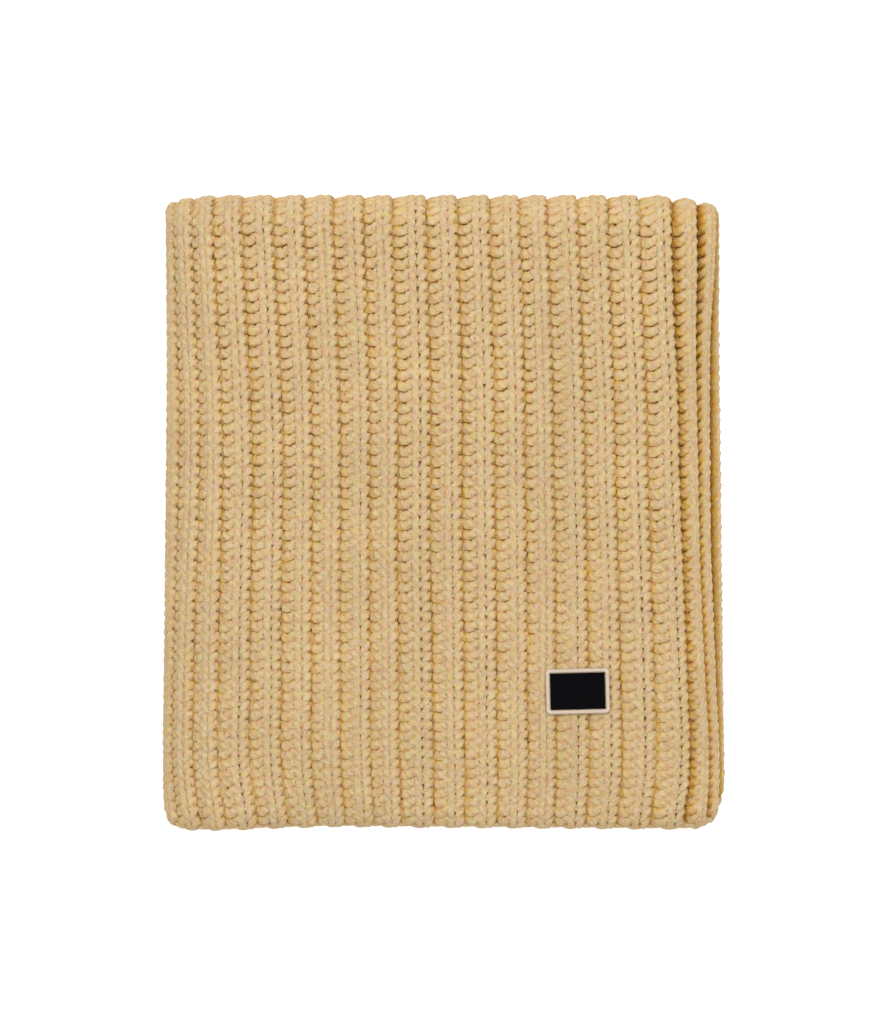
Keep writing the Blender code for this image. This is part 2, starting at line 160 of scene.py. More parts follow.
def onFlat(line, y):
    share = ease(1 - y / stack["frontEdgeAt"])
    return onTop(line, y + drawBack(line) * (1 - share))


def underX(line):
    return stack["underHalfWidth"] * (2 * line / ribCount - 1)


def onBackFold(line, turn):
    start = onTop(line, stack["backFoldAt"])
    depth = stack["backFoldDepth"] - stack["cornerTuck"] * sideDrop(line)
    middle = (start[..., 2] + stack["underLevel"]) / 2
    x = start[..., 0] + (underX(line) - start[..., 0]) * ease(2 * turn / np.pi - 1)
    z = middle + (start[..., 2] - middle) * np.cos(turn)
    return point(x, stack["backFoldAt"] + depth * np.sin(turn), z)


def onUnderside(line, y):
    return point(underX(line), y, stack["underLevel"])


def onLowFold(line, turn):
    y = stack["underFront"] - stack["lowFoldRadius"] * np.sin(turn)
    return point(underX(line), y, stack["underLevel"] + stack["lowFoldRadius"] * (1 - np.cos(turn)))


def onLip(line, y):
    return point(underX(line), y, stack["underLevel"] + 2 * stack["lowFoldRadius"])


# The four layers inside, lowest first: level of the cloth's middle, left and right reach, front, back
innerRows = (
    (0.0117, 0.1440, 0.1440, -0.1430, 0.150),
    (0.0197, 0.1420, 0.1400, -0.1560, 0.150),
    (0.0281, 0.1370, 0.1345, -0.1560, 0.150),
    (0.0376, 0.1270, 0.1270, -0.1580, 0.150),
)


def innerX(line, left, right):
    return (right + left) / ribCount * line - left


def innerFlat(number):
    level, left, right = innerRows[number][:3]

    def on(line, y):
        return point(innerX(line, left, right), y, level)

    return on


def innerFold(number, side):  # from that layer round to the next one up, at the back (1) or front (-1)
    low, high = innerRows[number], innerRows[number + 1]

    def on(line, turn):
        share = ease(turn / np.pi)
        left = low[1] + (high[1] - low[1]) * share
        right = low[2] + (high[2] - low[2]) * share
        radius = (high[0] - low[0]) / 2
        y = low[4] if side > 0 else low[3]
        z = low[0] + radius * (1 - np.cos(turn))
        return point(innerX(line, left, right), y + side * radius * np.sin(turn), z)

    return on


linesPerRib = 8
flatStep = 0.002
foldSteps = 24


def flatPlaces(start, end):
    return np.linspace(start, end, max(2, round(abs(end - start) / flatStep)) + 1)[:-1]


def turns(start, end):
    return np.linspace(start, end, foldSteps + 1)[:-1]


def layCloth(stretches):  # a grid of places on the cloth: along it, across it
    lines = np.linspace(0, ribCount, ribCount * linesPerRib + 1)
    grid = np.concatenate([on(lines[None, :], places[:, None]) for on, places in stretches])
    out = np.cross(np.gradient(grid, axis=1), np.gradient(grid, axis=0))
    out /= np.linalg.norm(out, axis=-1, keepdims=True)
    middle = grid[:, grid.shape[1] // 2]
    along = np.concatenate([[0], np.cumsum(np.linalg.norm(np.diff(middle, axis=0), axis=1))])
    return dict(grid=grid, out=out, along=along)


outerCloth = layCloth([
    (onFrontEdge, turns(stack["frontEdgeTurn"], 0)),
    (onFlat, flatPlaces(stack["frontEdgeAt"], stack["backFoldAt"])),
    (onBackFold, turns(0, np.pi)),
    (onUnderside, flatPlaces(stack["backFoldAt"], stack["underFront"])),
    (onLowFold, turns(0, np.pi)),
    (onLip, np.linspace(stack["underFront"], stack["lipEnd"], 5)),
])
innerCloth = layCloth([
    (innerFlat(0), flatPlaces(innerRows[0][3], innerRows[0][4])),
    (innerFold(0, 1), turns(0, np.pi)),
    (innerFlat(1), flatPlaces(innerRows[1][4], innerRows[1][3])),
    (innerFold(1, -1), turns(0, np.pi)),
    (innerFlat(2), flatPlaces(innerRows[2][3], innerRows[2][4])),
    (innerFold(2, 1), turns(0, np.pi)),
    (innerFlat(3), np.linspace(innerRows[3][4], innerRows[3][3], 150)),
])
print("cloth laid out:", outerCloth["grid"].shape, innerCloth["grid"].shape)


def onCloth(cloth, line, along):  # points of the cloth and directions out of it
    i = np.clip(line * linesPerRib, 0, ribCount * linesPerRib - 1e-6)
    j = np.interp(along, cloth["along"], np.arange(len(cloth["along"])))
    j = np.clip(j, 0, len(cloth["along"]) - 1 - 1e-6)
    i0, j0 = i.astype(int), j.astype(int)
    fi, fj = (i - i0)[..., None], (j - j0)[..., None]
    found = []
    for table in (cloth["grid"], cloth["out"]):
        near = table[j0, i0] * (1 - fi) + table[j0, i0 + 1] * fi
        far = table[j0 + 1, i0] * (1 - fi) + table[j0 + 1, i0 + 1] * fi
        found.append(near * (1 - fj) + far * fj)
    found[1] /= np.linalg.norm(found[1], axis=-1, keepdims=True)
    return found


def makeMesh(name, points, quads, uvs=None, levels=None, smooth=True):
    mesh = bpy.data.meshes.new(name)
    mesh.from_pydata(points.reshape(-1, 3), [], quads.reshape(-1, 4).tolist())
    if uvs is not None:
        mesh.uv_layers.new(name="yarn").data.foreach_set("uv", uvs.astype(np.float32).ravel())
    if levels is not None:
        mesh.attributes.new("level", "FLOAT", "POINT").data.foreach_set("value", levels.ravel())
    if smooth:
        mesh.shade_smooth()
    piece = bpy.data.objects.new(name, mesh)
    bpy.context.scene.collection.objects.link(piece)
    return piece


yarnSides = 8
yarnSquareness = 2.6  # 2 is an oval; more is flatter on its back, with narrower gaps beside it


def tubes(name, paths, ups, sideRadii, upRadii, raised=None):
    # Yarn along each path (paths, places, 3): an oval section turned to lie on the cloth. Its points
    # keep their height over the cloth's creases, in mm, which the wool material paints as shade
    ahead = np.gradient(paths, axis=1)
    ahead /= np.linalg.norm(ahead, axis=-1, keepdims=True) + 1e-12
    side = np.cross(ahead, ups)
    side /= np.linalg.norm(side, axis=-1, keepdims=True) + 1e-12
    up = np.cross(side, ahead)
    turn = np.arange(yarnSides) / yarnSides * 2 * np.pi
    oval = (np.cos(turn), np.sin(turn))
    across, high = (np.sign(w) * np.abs(w) ** (2 / yarnSquareness) for w in oval)
    acrossPart = side[:, :, None] * (sideRadii[..., None] * across)[..., None]
    upPart = up[:, :, None] * (upRadii[..., None] * high)[..., None]
    rings = paths[:, :, None] + acrossPart + upPart
    rings[..., 2] = np.maximum(rings[..., 2], 0)  # flat where it rests
    count, places = paths.shape[:2]
    index = np.arange(count * places * yarnSides).reshape(count, places, yarnSides)
    after = np.roll(index, -1, axis=2)
    walls = np.stack([index[:, :-1], after[:, :-1], after[:, 1:], index[:, 1:]], -1)
    starts, ends = index[:, 0], index[:, -1]
    capCorners = ([0, 1, 2, 3], [0, 3, 4, 7], [7, 4, 5, 6])
    caps = [starts[:, corners[::-1]] for corners in capCorners]
    caps += [ends[:, corners] for corners in capCorners]
    length = np.concatenate(
        [np.zeros((count, 1)), np.cumsum(np.linalg.norm(np.diff(paths, axis=1), axis=-1), axis=1)], 1
    )
    aroundShare = np.arange(yarnSides + 1) / yarnSides
    u = np.broadcast_to(length[:, :, None], (count, places, yarnSides + 1))
    v = np.broadcast_to(aroundShare, (count, places, yarnSides + 1))
    uv = np.stack([u, v], -1)
    wallUvs = np.stack([uv[:, :-1, :-1], uv[:, :-1, 1:], uv[:, 1:, 1:], uv[:, 1:, :-1]], -2)
    capUvs = np.zeros((len(caps) * count, 4, 2))
    quads = np.concatenate([walls.reshape(-1, 4), *caps])
    uvs = np.concatenate([wallUvs.reshape(-1, 4, 2), capUvs])
    raised = np.full((count, places), 0.001) if raised is None else raised
    # Height of each point for the painted shade, with the yarn's underside lower than its back
    levels = raised[..., None] + upRadii[..., None] * high
    return makeMesh(name, rings, quads, uvs, levels * 1000)


def along(values, steps):  # values along axis 1 on a smooth curve, this many steps to each of them
    last = values.shape[1] - 1
    at = np.linspace(0, last, round(last * steps) + 1)
    k = np.clip(at.astype(int), 0, last - 1)
    u = at - k
    slopes = np.gradient(values, axis=1)
    near = values[:, k] * (1 + 2 * u) + slopes[:, k] * u
    far = values[:, k + 1] * (3 - 2 * u) + slopes[:, k + 1] * (u - 1)
    return near * (1 - u) ** 2 + far * u * u


# One repeat of a course, from the crease on its left to the next one: share of the rib, rows up,
# height above the creases in mm, half width and half height of the yarn in mm
repeatRows = np.array([
    (0.000, 0.52, -1.45, 3.15, 1.45),
    (0.055, 0.47, -0.90, 3.12, 1.55),
    (0.120, 0.41, -0.30, 3.10, 1.70),
    (0.200, 0.36, 0.15, 3.00, 1.80),
    (0.290, 0.42, 0.35, 2.80, 1.80),
    (0.375, 0.58, 0.50, 2.60, 1.72),
    (0.450, 0.82, 1.00, 2.45, 1.60),
    (0.505, 0.78, 1.35, 2.10, 1.55),
    (0.560, 0.40, 1.65, 1.95, 1.60),
    (0.600, -0.04, 1.45, 1.70, 1.50),
    (0.645, -0.36, 1.30, 1.50, 1.25),
    (0.705, -0.36, 1.30, 1.50, 1.25),
    (0.760, -0.04, 1.45, 1.70, 1.50),
    (0.820, 0.36, 1.65, 1.95, 1.60),
    (0.870, 0.58, 1.15, 2.50, 1.55),
    (0.930, 0.54, -0.45, 3.15, 1.45),
])

# Height of a row of stitches along the stack: y, height
rowRows = np.array([
    (-0.175, 0.0050), (-0.143, 0.0051), (-0.091, 0.0053), (-0.037, 0.0055), (0.017, 0.00575),
    (0.071, 0.00586), (0.125, 0.00605), (0.175, 0.0061),
])
rowPhase = 0.0484  # y of one row's lower edge
foldRowHeight = 0.0054  # round the back fold, where the stitches stretch open


def courseRows(cloth):  # where each course starts along the cloth, and its height
    middle = cloth["grid"][:, cloth["grid"].shape[1] // 2]
    height = np.interp(middle[:, 1], rowRows[:, 0], rowRows[:, 1])
    height = np.where(middle[:, 1] > stack["backFoldAt"] + 0.001, foldRowHeight, height)
    step = np.diff(cloth["along"])
    count = np.concatenate([[0], np.cumsum(step / ((height[1:] + height[:-1]) / 2))])
    count -= np.interp(rowPhase, middle[: len(middle) // 3, 1], count[: len(middle) // 3])
    numbers = np.arange(math.ceil(count[0]), math.floor(count[-1]) + 1)
    starts = np.interp(numbers, count, cloth["along"])
    return starts, np.interp(starts, cloth["along"], height)


knitting = dict(
    seed=7,
    firstCourseAt=-0.1682,  # y of the lowest course's lower edge
    alongWobble=0.04,  # rows
    sideWobble=0.006,  # ribs
    heightWobble=0.10,  # mm
    sizeWobble=0.05,
    ribPhase=0.10,  # rows by which neighbouring ribs are out of step
    lastRibSpread=0.12,  # ribs by which the last purl column spreads as the cloth turns down
)


# Creases that open where the cloth turns down: rib line, half width in ribs, mm deeper, and mm of
# painted shade, by which their wool's colour is taken further down the shade ramp
hollowShadeTable = ((18.06, 0.20, 2.8, 0.8), (19.14, 0.22, 2.8, 5.0), (20.32, 0.30, 4.6, 7.0))


# Column 2 moves the yarn down into a crease; column 3 is painted shade, which lowers only the colour
def hollowAndShadeDepth(line, column=2):
    return sum(row[column] * np.exp(-(((line - row[0]) / row[1]) ** 2)) for row in hollowShadeTable)


def spread(line):  # the last rib's stitches, shifted to the right
    share = np.clip(line - ribCount + 1, 0, 1)
    return line + knitting["lastRibSpread"] * np.sin(np.pi * share)


def knit(name, cloth, ribs, starts, heights, steps=1.25, lift=0.0, fullness=1.0, seed=0):
    luck = np.random.default_rng(knitting["seed"] + seed)
    # Two places more at each side, so that a course runs on into the next piece's
    used = slice(max(0, ribs[0] * len(repeatRows) - 2), ribs[1] * len(repeatRows) + 2)
    share = (np.arange(ribCount)[:, None] + repeatRows[None, :, 0]).ravel()[used]
    table = [np.tile(repeatRows[:, k], ribCount)[used] for k in range(1, 5)]
    shape = (len(starts), len(share))
    wobble = [luck.normal(0, 1, shape) for _ in range(4)]
    phase = knitting["ribPhase"] * np.sin(1.7 * share + 0.6)
    line = along(share + knitting["sideWobble"] * wobble[0], steps)
    rows = table[0] + phase + knitting["alongWobble"] * wobble[1]
    placed = along(starts[:, None] + rows * heights[:, None], steps)
    lifted = along(table[1] + knitting["heightWobble"] * wobble[2], steps) / 1000 + lift
    size = 1 + knitting["sizeWobble"] * wobble[3]
    sideRadii = along(table[2] * size, steps) * fullness / 1000
    upRadii = along(table[3] * size, steps) / 1000
    if cloth is outerCloth:
        line = spread(line)
        lifted -= hollowAndShadeDepth(line) * (placed < foldEnd) / 1000
    base, out = onCloth(cloth, np.clip(line, 0, ribCount), placed)
    for radii in (sideRadii, upRadii):
        radii[:, [0, -1]] *= 0.3
    paths = base + out * lifted[..., None]
    raised = lifted - lift
    if cloth is outerCloth:
        # Painted shade: in the opening creases the colour height sinks further, so the wool there is
        # painted darker
        raised = raised - hollowAndShadeDepth(line, 3) * (placed < foldEnd) / 1000
    return tubes(name, paths, out, sideRadii, upRadii, raised)


# Two smooth cords in each knit column, on which its stitches lie: share of the rib, height of their
# middle, half width and half height in mm
cordRows = ((0.525, 1.25, 1.70, 1.6), (0.803, 1.25, 1.70, 1.6))
cordForm = dict(first=0.0022, step=0.0040, sideWobble=0.004, heightWobble=0.05, sizeWobble=0.03)


def cords(name, cloth, end, seed):
    luck = np.random.default_rng(knitting["seed"] + seed)
    placed = np.arange(cordForm["first"], end, cordForm["step"])
    paths, ups, raised, wide, high = [], [], [], [], []
    for rib in range(ribCount):
        for share, height, halfWidth, halfHeight in cordRows:
            wobble = luck.normal(0, 1, (3, len(placed)))
            line = spread(rib + share + cordForm["sideWobble"] * wobble[0])
            lifted = (height + cordForm["heightWobble"] * wobble[1] - hollowAndShadeDepth(line)) / 1000
            base, out = onCloth(cloth, line, placed)
            paths.append(base + out * lifted[:, None])
            ups.append(out)
            # Painted shade: the colour height sinks further in the opening creases, darkening the wool
            # there
            raised.append(lifted - hollowAndShadeDepth(line, 3) / 1000)
            wide.append(halfWidth / 1000 * (1 + cordForm["sizeWobble"] * wobble[2]))
            high.append(np.full(len(placed), halfHeight / 1000))
    return tubes(name, *(np.array(part) for part in (paths, ups, wide, high, raised)))


# The backing across one rib: share of the rib, height above the creases in mm
backingRows = ((0.0, -1.1), (0.12, -0.8), (0.35, -0.3), (0.55, 0.1), (0.80, 0.4), (0.92, -0.2))


def backing(name, cloth, thickness, rowStride, ribbed=True, halfHeight=0.0):
    # A thin closed shell under the stitches, ribbed as they are
    shares, levels = np.array(backingRows).T if ribbed else (np.zeros(1), np.zeros(1))
    lines = np.append((np.arange(ribCount)[:, None] + shares).ravel(), ribCount)
    raised = np.append(np.tile(levels, ribCount), levels[0]) / 1000 + halfHeight
    if ribbed:
        lines = spread(lines)
        raised = raised - hollowAndShadeDepth(lines) / 1000
    last = len(cloth["grid"]) - 1
    placed = cloth["along"][np.unique([*range(0, last, rowStride), last])]
    grid, out = onCloth(cloth, *np.broadcast_arrays(lines[None, :], placed[:, None]))
    upper = grid + out * raised[None, :, None]
    lower = upper - out * thickness
    rows, columns = grid.shape[:2]
    top = np.arange(rows * columns).reshape(rows, columns)
    low = top + rows * columns
    faces = [
        np.stack([top[:-1, :-1], top[1:, :-1], top[1:, 1:], top[:-1, 1:]], -1),
        np.stack([low[:-1, :-1], low[:-1, 1:], low[1:, 1:], low[1:, :-1]], -1),
        np.stack([top[:-1, 0], low[:-1, 0], low[1:, 0], top[1:, 0]], -1),
        np.stack([top[:-1, -1], top[1:, -1], low[1:, -1], low[:-1, -1]], -1),
        np.stack([top[0, :-1], top[0, 1:], low[0, 1:], low[0, :-1]], -1),
        np.stack([top[-1, :-1], low[-1, :-1], low[-1, 1:], top[-1, 1:]], -1),
    ]
    quads = np.concatenate([f.reshape(-1, 4) for f in faces])
    return makeMesh(name, np.concatenate([upper.reshape(-1, 3), lower.reshape(-1, 3)]), quads)


starts, heights = courseRows(outerCloth)
middleOf = outerCloth["grid"][:, outerCloth["grid"].shape[1] // 2]
underStart = np.argmax(middleOf[:, 2] < stack["underLevel"] + 1e-4)
foldEnd = outerCloth["along"][underStart]
firstCourse = np.interp(knitting["firstCourseAt"], middleOf[:40, 1], outerCloth["along"][:40])
onTopStretch = (starts < foldEnd) & (starts > firstCourse)
onUnder = starts >= foldEnd
topPieces = []
for number, ribs in enumerate(((0, 7), (7, 14), (14, 21))):
    piece = knit("topKnit%d" % (number + 1), outerCloth, ribs, starts[onTopStretch],
                 heights[onTopStretch], seed=number)
    topPieces.append(piece)
    print(piece.name, len(piece.data.polygons) * 2, "triangles")
underPieces = []
for number, ribs in enumerate(((0, 11), (11, 21))):
    piece = knit("underKnit%d" % (number + 1), outerCloth, ribs, starts[onUnder], heights[onUnder],
                 steps=0.6875, seed=10 + number)
    underPieces.append(piece)
    print(piece.name, len(piece.data.polygons) * 2, "triangles")
columnCords = cords("columnCords", outerCloth, foldEnd, 40)
print("columnCords", len(columnCords.data.polygons) * 2, "triangles")
outerBacking = backing("outerBacking", outerCloth, 0.0008, rowStride=4)
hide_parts("top_stretch", "under_stretch")

print("outer stretch knitted")

innerStarts, innerHeights = courseRows(innerCloth)
innerMiddle = innerCloth["grid"][:, innerCloth["grid"].shape[1] // 2]
innerBacking = backing("innerBacking", innerCloth, 0.0044, rowStride=3, ribbed=False, halfHeight=0.0022)
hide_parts("hidden_layers")
frontFoldRows = innerMiddle[:, 1] < innerRows[1][3] + 0.006
frontFoldRows &= innerMiddle[:, 2] > innerRows[0][0] + 0.004
frontFoldRows &= innerMiddle[:, 2] < innerRows[2][0] + 0.001
foldSpan = innerCloth["along"][frontFoldRows]
onFold = (innerStarts > foldSpan[0]) & (innerStarts < foldSpan[-1])
innerFoldKnit = knit("innerFoldKnit", innerCloth, (0, 21), innerStarts[onFold], innerHeights[onFold],
                     steps=1, lift=0.0014, fullness=1.35, seed=20)

print("layers inside laid:", len(innerStarts), "courses")

selvedgeForm = dict(
    outer=dict(reach=0.0016, middle=-0.0022, inset=0.0014, yarn=0.0015, width=0.0029, places=8),
    inner=dict(reach=0.0022, middle=0.0, inset=0.0006, yarn=0.0014, width=0.0029, places=6),
)


def selvedge(name, cloth, starts, heights, form, seed):
    luck = np.random.default_rng(knitting["seed"] + seed)
    turn = np.radians(np.linspace(105, -105, form["places"]))
    paths, ups = [], []
    for line, inner in ((0.0, 0.2), (float(ribCount), ribCount - 0.2)):
        rows = np.linspace(0.12, 0.92, form["places"])[None, :] + luck.normal(0, 0.03, (len(starts), 1))
        placed = starts[:, None] + rows * heights[:, None]
        edge, out = onCloth(cloth, np.full(placed.shape, line), placed)
        beside = onCloth(cloth, np.full(placed.shape, inner), placed)[0]
        away = edge - beside
        away -= out * np.sum(away * out, axis=-1, keepdims=True)
        away /= np.linalg.norm(away, axis=-1, keepdims=True)
        reach = form["reach"] * (1 + luck.normal(0, 0.04, (len(starts), 1)))
        turned = out * np.sin(turn)[None, :, None] + away * np.cos(turn)[None, :, None]
        centre = edge + out * form["middle"] - away * form["inset"]
        paths.append(centre + turned * reach[..., None])
        ups.append(turned)
    paths, ups = np.concatenate(paths), np.concatenate(ups)
    radii, wide = (np.full(paths.shape[:2], form[key]) for key in ("yarn", "width"))
    for sizes in (radii, wide):
        sizes[:, [0, -1]] *= 0.5
    return tubes(name, paths, ups, wide, radii)


outerSelvedge = selvedge("outerSelvedge", outerCloth, starts[starts > firstCourse],
                         heights[starts > firstCourse], selvedgeForm["outer"], 30)
innerSelvedge = selvedge("innerSelvedge", innerCloth, innerStarts, innerHeights,
                         selvedgeForm["inner"], 31)

endRope = dict(strand=0.0019, reach=0.0007, links=42, placesPerLink=10)


def ropeAlong(name, cloth, placed, lift, ribLift):  # a bound-off edge: two twined strands
    places = endRope["links"] * endRope["placesPerLink"] + 1
    line = np.linspace(0.03, ribCount - 0.03, places)
    base, out = onCloth(cloth, line, np.full(places, placed))
    share = line % 1
    raised = lift + ribLift * np.sin(np.pi * np.clip((share - 0.1) / 0.9, 0, 1)) ** 2
    middle = base + out * raised[:, None]
    across = np.gradient(middle, axis=0)
    across /= np.linalg.norm(across, axis=-1, keepdims=True)
    side = np.cross(across, out)
    turn = np.pi * line / ribCount * endRope["links"]
    paths = []
    for begin in (0, np.pi):
        swing = (out * np.cos(turn + begin)[:, None] + side * np.sin(turn + begin)[:, None])
        paths.append(middle + swing * endRope["reach"])
    ups = np.stack([out, out])
    radii = np.full((2, places), endRope["strand"])
    radii[:, [0, -1]] *= 0.5
    return tubes(name, np.stack(paths), ups, radii, radii)


labelledEnd = ropeAlong("labelledEnd", outerCloth, 0.0016, -0.0008, 0.0008)
innerEnd = ropeAlong("innerEnd", innerCloth, innerCloth["along"][-1], 0.0, 0.0004)

print("edges made")

label = dict(
    at=(0.0720, -0.0964), width=0.0345, height=0.0245, corner=0.0026, turn=math.radians(1.5), sag=0.25,
    gap=0.0003, thickness=0.0011, borderWidth=0.0023, borderThickness=0.0019, wraps=146, thread=0.00040,
)
ribForm = ((0.0, 0.0), (0.26, 0.42), (0.50, 0.72), (0.70, 1.0), (0.88, 0.80), (1.0, 0.0))


def onLabel(x, y, height):
    cos, sin = math.cos(label["turn"]), math.sin(label["turn"])
    placeX = label["at"][0] + x * cos - y * sin
    placeY = label["at"][1] + x * sin + y * cos
    low, high = np.zeros_like(placeX), np.full_like(placeX, ribCount)
    for _ in range(20):
        middle = (low + high) / 2
        left = onTop(middle, placeY)[..., 0] < placeX
        low, high = np.where(left, middle, low), np.where(left, high, middle)
    share = np.interp(low % 1, *np.array(ribForm).T)
    seat = onTop(low, placeY)[..., 2] + relief * (1 - label["sag"] * (1 - share))
    return point(placeX, placeY, seat + label["gap"] + height)


def labelField():
    columns, rows = 61, 41
    reachX = label["width"] / 2 - label["borderWidth"] - label["gap"]
    reachY = label["height"] / 2 - label["borderWidth"] - label["gap"]
    x, y = np.meshgrid(np.linspace(-reachX, reachX, columns), np.linspace(-reachY, reachY, rows))
    upper, lower = onLabel(x, y, label["thickness"]), onLabel(x, y, 0.0)
    top = np.arange(rows * columns).reshape(rows, columns)
    low = top + rows * columns
    faces = [
        np.stack([top[:-1, :-1], top[:-1, 1:], top[1:, 1:], top[1:, :-1]], -1),
        np.stack([low[:-1, :-1], low[1:, :-1], low[1:, 1:], low[:-1, 1:]], -1),
        np.stack([top[:-1, 0], top[1:, 0], low[1:, 0], low[:-1, 0]], -1),
        np.stack([top[:-1, -1], low[:-1, -1], low[1:, -1], top[1:, -1]], -1),
        np.stack([top[0, :-1], low[0, :-1], low[0, 1:], top[0, 1:]], -1),
        np.stack([top[-1, :-1], top[-1, 1:], low[-1, 1:], low[-1, :-1]], -1),
    ]
    quads = np.concatenate([f.reshape(-1, 4) for f in faces])
    return makeMesh("labelField", np.concatenate([upper.reshape(-1, 3), lower.reshape(-1, 3)]), quads)


def labelOutline(steps):  # places round the label's edge and the way out from it, evenly spaced
    reachX, reachY = label["width"] / 2 - label["corner"], label["height"] / 2 - label["corner"]
    points, ways = [], []
    for sideX, sideY, first in ((1, -1, -90), (1, 1, 0), (-1, 1, 90), (-1, -1, 180)):
        for turn in np.radians(np.linspace(first, first + 90, 13)):
            way = np.array([math.cos(turn), math.sin(turn)])
            points.append(np.array([sideX * reachX, sideY * reachY]) + label["corner"] * way)
            ways.append(way)
    points, ways = np.array(points + points[:1]), np.array(ways + ways[:1])
    along = np.concatenate([[0], np.cumsum(np.linalg.norm(np.diff(points, axis=0), axis=1))])
    at = np.arange(steps) / steps * along[-1]
    places = np.stack([np.interp(at, along, points[:, k]) for k in range(2)], -1)
    out = np.stack([np.interp(at, along, ways[:, k]) for k in range(2)], -1)
    return places, out / np.linalg.norm(out, axis=1, keepdims=True)


def labelEdge():
    steps, sides = 240, 10
    places, out = labelOutline(steps)
    turn = np.arange(sides) / sides * 2 * np.pi
    halfWidth, halfHeight = label["borderWidth"] / 2 - 0.0003, label["borderThickness"] / 2 - 0.0003
    inward = label["borderWidth"] / 2 - halfWidth * np.cos(turn)
    height = label["borderThickness"] / 2 + halfHeight * np.sin(turn)
    flat = places[:, None] - out[:, None] * inward[None, :, None]
    rings = onLabel(flat[..., 0], flat[..., 1], height[None, :])
    index = np.arange(steps * sides).reshape(steps, sides)
    ahead, after = np.roll(index, -1, axis=0), np.roll(index, -1, axis=1)
    quads = np.stack([index, after, np.roll(ahead, -1, axis=1), ahead], -1)
    return makeMesh("labelEdge", rings, quads)


def labelThreads():
    count, spots = label["wraps"], 11
    places, out = labelOutline(count)
    onward = np.stack([-out[:, 1], out[:, 0]], -1)
    turn = np.radians(np.linspace(200, -20, spots))
    halfWidth, halfHeight = label["borderWidth"] / 2 - 0.0003, label["borderThickness"] / 2 - 0.0003
    slant = np.linspace(-0.0003, 0.0003, spots)
    inward = label["borderWidth"] / 2 + halfWidth * np.cos(turn)
    flat = places[:, None] - out[:, None] * inward[None, :, None]
    flat = flat + onward[:, None] * slant[None, :, None]
    height = label["borderThickness"] / 2 + halfHeight * np.sin(turn)
    paths = onLabel(flat[..., 0], flat[..., 1], height[None, :] + 0.0001)
    ups = np.zeros_like(paths)
    ups[..., :2] = out[:, None] * np.cos(turn)[None, :, None]
    ups[..., 2] = np.sin(turn)
    radii = np.full(paths.shape[:2], label["thread"])
    return tubes("labelThreads", paths, ups, radii, radii)


fieldPiece, edgePiece, threadPiece = labelField(), labelEdge(), labelThreads()
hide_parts("label_field")
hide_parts("label_border")
print("label sewn on")


def finish(piece, material):
    piece.data.materials.clear()
    piece.data.materials.append(material)
    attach(piece, "root")


def newGroup(name, sockets):
    group = bpy.data.node_groups.new(name, "ShaderNodeTree")
    for socket, way, kind, value in sockets:
        made = group.interface.new_socket(socket, in_out=way, socket_type=kind)
        if value is not None:
            made.default_value = value
    return group, group.nodes.new("NodeGroupInput"), group.nodes.new("NodeGroupOutput")


def addMath(tree, operation, *values):
    node = tree.nodes.new("ShaderNodeMath")
    node.operation = operation
    for k, value in enumerate(values):
        if isinstance(value, (int, float)):
            node.inputs[k].default_value = value
        else:
            tree.links.new(value, node.inputs[k])
    return node.outputs[0]


def plyTwistGroup():
    # The plies of a yarn, slanting round it: height, 0 between two plies and 1 on a ply's back
    group, given, result = newGroup("plyTwist", (
        ("Plies", "INPUT", "NodeSocketFloat", 3.0),
        ("Turns", "INPUT", "NodeSocketFloat", 90.0),
        ("Height", "OUTPUT", "NodeSocketFloat", None),
    ))
    coords = group.nodes.new("ShaderNodeUVMap")
    coords.uv_map = "yarn"
    split = group.nodes.new("ShaderNodeSeparateXYZ")
    group.links.new(coords.outputs[0], split.inputs[0])
    lengthPart = addMath(group, "MULTIPLY", split.outputs[0], given.outputs["Turns"])
    roundPart = addMath(group, "ADD", lengthPart, split.outputs[1])
    phase = addMath(group, "MULTIPLY", roundPart, given.outputs["Plies"])
    wave = addMath(group, "SINE", addMath(group, "MULTIPLY", phase, math.pi))
    group.links.new(addMath(group, "ABSOLUTE", wave), result.inputs["Height"])
    return group


def fibreGroup():
    # Fine fibres that run along the yarn: a mask from 0 to 1
    group, given, result = newGroup("fibre", (
        ("Along", "INPUT", "NodeSocketFloat", 700.0),
        ("Around", "INPUT", "NodeSocketFloat", 9.0),
        ("Mask", "OUTPUT", "NodeSocketFloat", None),
    ))
    coords = group.nodes.new("ShaderNodeUVMap")
    coords.uv_map = "yarn"
    split = group.nodes.new("ShaderNodeSeparateXYZ")
    group.links.new(coords.outputs[0], split.inputs[0])
    joined = group.nodes.new("ShaderNodeCombineXYZ")
    for k, size in enumerate(("Along", "Around")):
        stretched = addMath(group, "MULTIPLY", split.outputs[k], given.outputs[size])
        group.links.new(stretched, joined.inputs[k])
    noise = group.nodes.new("ShaderNodeTexNoise")
    noise.inputs["Scale"].default_value = 1.0
    noise.inputs["Detail"].default_value = 2.0
    group.links.new(joined.outputs[0], noise.inputs["Vector"])
    group.links.new(noise.outputs[0], result.inputs["Mask"])
    return group


